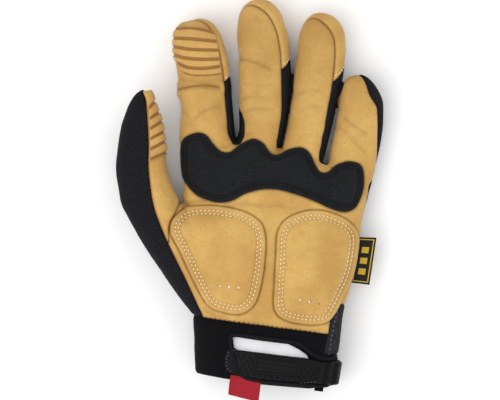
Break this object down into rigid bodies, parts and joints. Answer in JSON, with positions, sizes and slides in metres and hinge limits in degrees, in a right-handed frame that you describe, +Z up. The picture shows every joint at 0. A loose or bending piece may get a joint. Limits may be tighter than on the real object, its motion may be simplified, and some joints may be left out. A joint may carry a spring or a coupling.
{
  "type": "mechanic glove",
  "caption": "Left-hand work glove with leather palm, black knit back, padded heel, ribbed index finger and thumb, elastic cuff and wrist strap, lying palm up.",
  "frame": {"origin": "the middle of the underside of the glove's box, on the surface that the back of the hand lies on", "axes": "+Y towards the fingertips, +X towards the little finger, +Z up out of the palm"},
  "size_m": [0.154, 0.2328, 0.048],
  "materials": {
    "tan_leather": "soft matt synthetic leather with a fine grain",
    "black_knit": "ribbed stretch knit",
    "black_stretch": "smooth stretch cloth with a faint sheen",
    "black_suede": "matt suede",
    "grey_cloth": "tight dark grey cloth",
    "black_elastic": "woven elastic",
    "strap_rubber": "dimpled dark grey rubber",
    "white_cloth": "plain white cloth",
    "red_webbing": "woven webbing",
    "woven_label": "black and yellow woven label"
  },
  "bodies": {
    "root": {"palm_panel": "tan_leather", "back_panel": "black_knit", "gusset_index_middle": "black_stretch", "gusset_middle_ring": "black_stretch", "gusset_ring_little": "black_stretch", "index_cap": "tan_leather", "middle_cap": "tan_leather", "ring_cap": "tan_leather", "thumb_front": "tan_leather", "thumb_back": "black_knit", "knuckle_pad": "black_suede", "thenar_pad": "tan_leather", "hypothenar_pad": "tan_leather", "side_gusset": "grey_cloth", "cuff_band": "black_elastic", "opening_piping": "black_elastic", "wrist_strap": "strap_rubber", "strap_patch": "strap_rubber", "strap_end": "strap_rubber", "inner_label": "white_cloth", "pull_tab": "red_webbing", "cuff_tab": "black_elastic", "side_label": "woven_label"}
  },
  "joints": []
}
